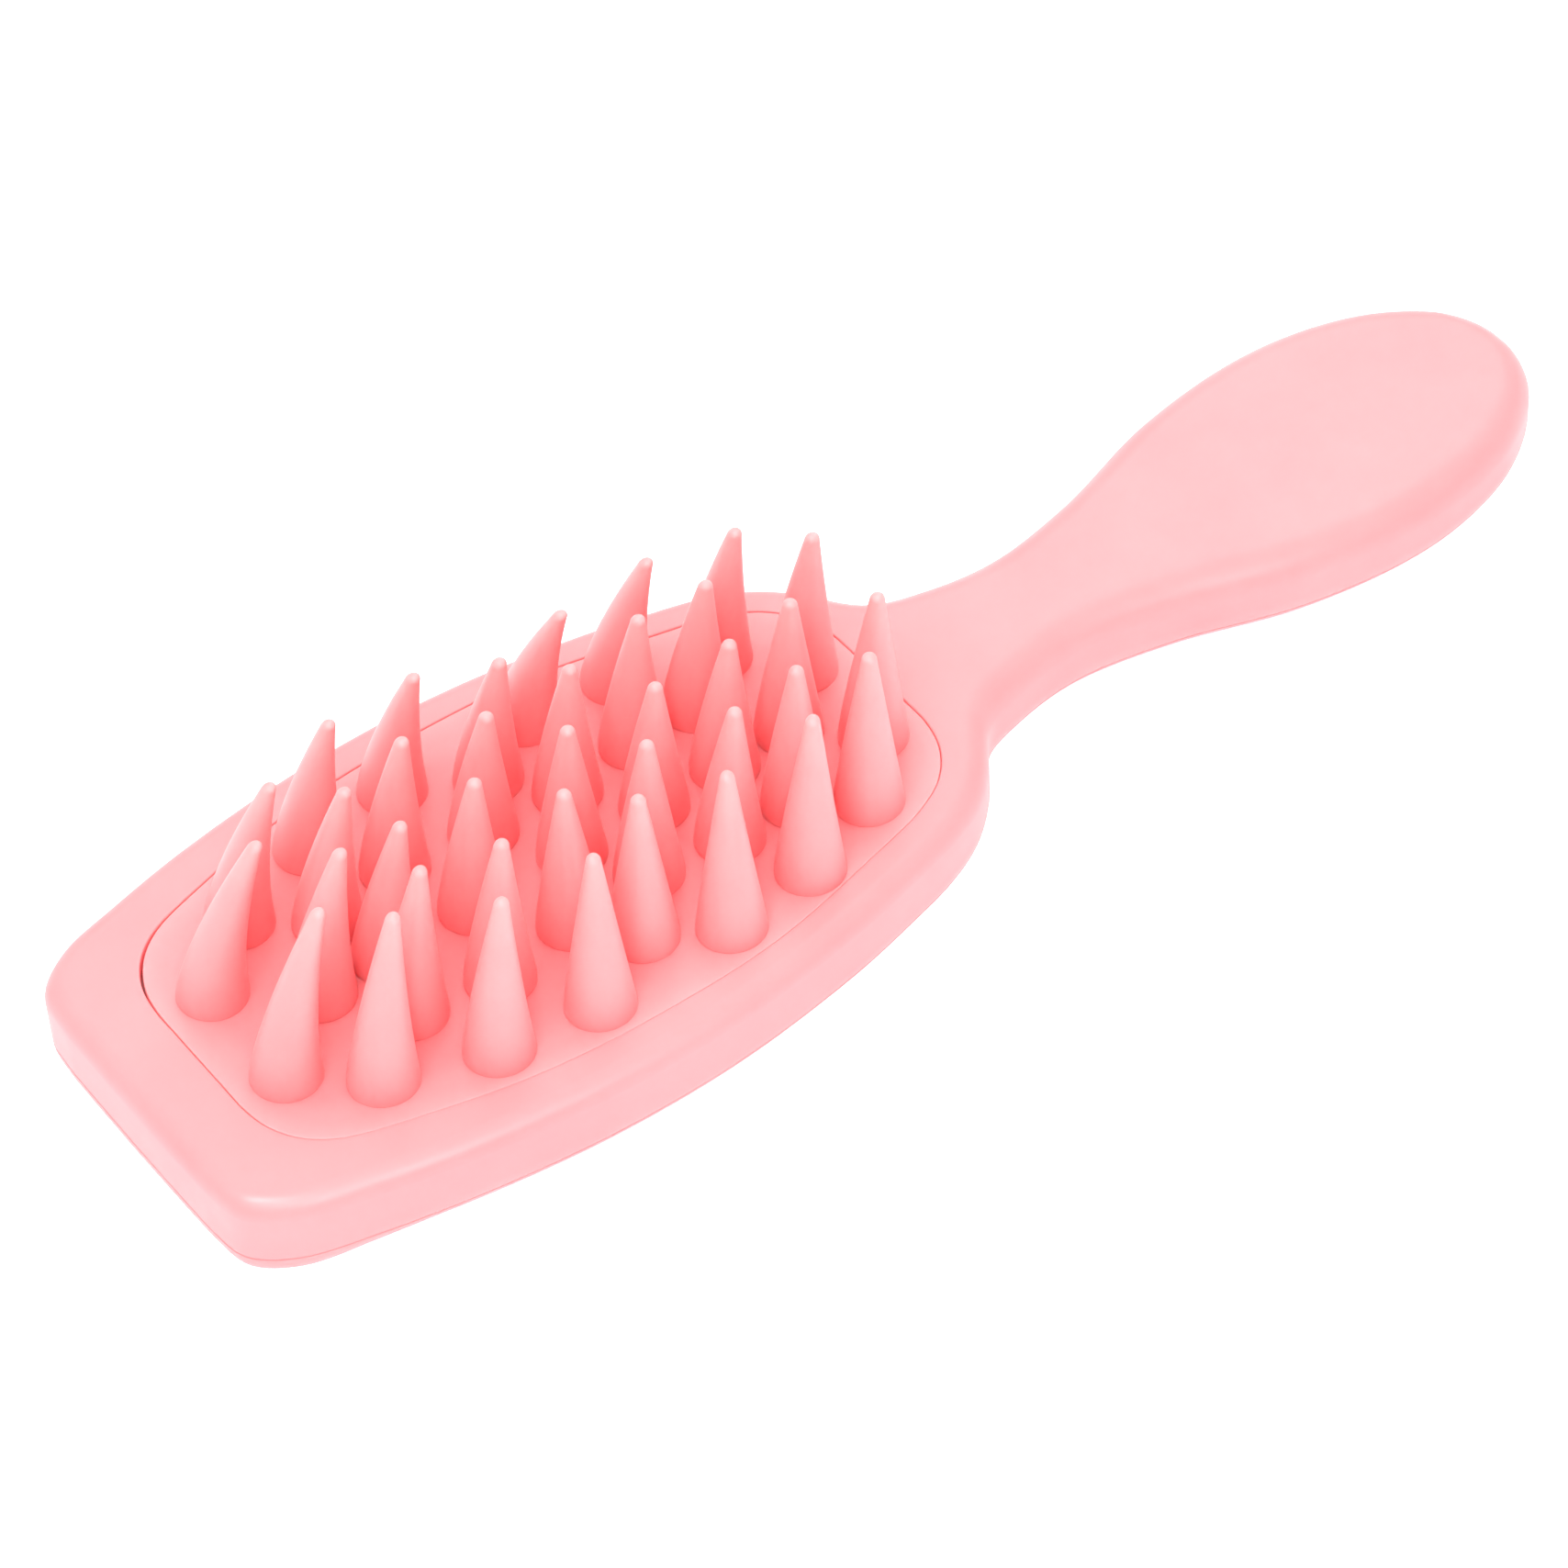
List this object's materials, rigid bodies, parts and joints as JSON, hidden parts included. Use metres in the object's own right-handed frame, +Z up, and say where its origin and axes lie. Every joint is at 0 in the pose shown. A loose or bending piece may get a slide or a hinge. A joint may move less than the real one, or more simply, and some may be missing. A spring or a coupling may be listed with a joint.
{
  "type": "scalp massager brush",
  "caption": "One-handed scalp massager brush: a paddle body with a flat handle and a soft pad carrying long blunt massage cones",
  "frame": {"origin": "middle of the brush's outline on the flat back face it lies on", "axes": "+X along the brush from the head to the handle's end, +Y to the brush's left seen from the head's end with the cones up, +Z up along the cones"},
  "size_m": [0.23, 0.073, 0.0378],
  "materials": {
    "shell": "matte pink moulded plastic",
    "pad": "soft pink silicone",
    "cone": "soft pink silicone, paler at the tips",
    "plate": "plain moulded plastic, hidden"
  },
  "bodies": {
    "root": {"front_shell": "shell", "back_shell": "shell", "bristle_pad": "pad", "backing_plate": "plate", "cone_01_left": "cone", "cone_01_right": "cone", "cone_02_left": "cone", "cone_02_right": "cone", "cone_03_left": "cone", "cone_03_right": "cone", "cone_04_left": "cone", "cone_04_right": "cone", "cone_05_left": "cone", "cone_05_right": "cone", "cone_06_left": "cone", "cone_06_right": "cone", "cone_07_left": "cone", "cone_07_right": "cone", "cone_08_left": "cone", "cone_08_right": "cone", "cone_09_left": "cone", "cone_09_right": "cone", "cone_10_left": "cone", "cone_10_right": "cone", "cone_11_left": "cone", "cone_11_right": "cone", "cone_12_left": "cone", "cone_12_right": "cone", "cone_13_left": "cone", "cone_13_right": "cone", "cone_14_left": "cone", "cone_14_right": "cone", "cone_15_left": "cone", "cone_15_right": "cone", "cone_centre_1": "cone", "cone_centre_2": "cone", "cone_centre_3": "cone", "cone_centre_4": "cone", "cone_centre_5": "cone", "cone_centre_6": "cone", "cone_centre_7": "cone"}
  },
  "joints": []
}
